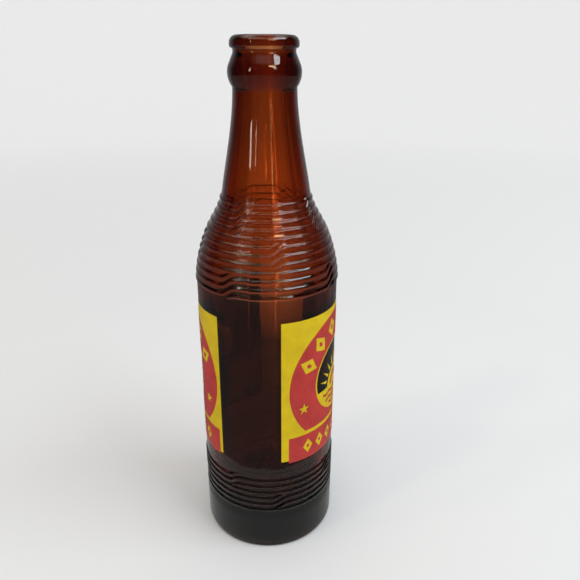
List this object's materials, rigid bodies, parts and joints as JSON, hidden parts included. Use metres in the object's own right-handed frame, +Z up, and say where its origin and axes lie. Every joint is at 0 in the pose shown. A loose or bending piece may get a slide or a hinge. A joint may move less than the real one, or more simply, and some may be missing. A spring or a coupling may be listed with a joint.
{
  "type": "glass soda bottle",
  "caption": "Tall amber glass soda bottle with a crown finish, ribbed shoulder and heel, and two fired enamel labels on its straight panel.",
  "frame": {"origin": "centre of the bearing ring that the bottle stands on", "axes": "+Z up the bottle's axis towards the mouth, -Y out of the middle of the front label"},
  "size_m": [0.062, 0.062, 0.2228],
  "materials": {
    "amber_glass": "moulded amber glass, glossy",
    "yellow_enamel": "fired opaque enamel, satin",
    "red_enamel": "fired opaque enamel, satin"
  },
  "bodies": {
    "root": {"bottle_glass": "amber_glass", "front_label_ground": "yellow_enamel", "front_label_ring": "red_enamel", "front_label_banner": "red_enamel", "front_label_emblem": "red_enamel", "back_label_ground": "yellow_enamel", "back_label_ring": "red_enamel", "back_label_banner": "red_enamel", "back_label_emblem": "red_enamel"}
  },
  "joints": []
}
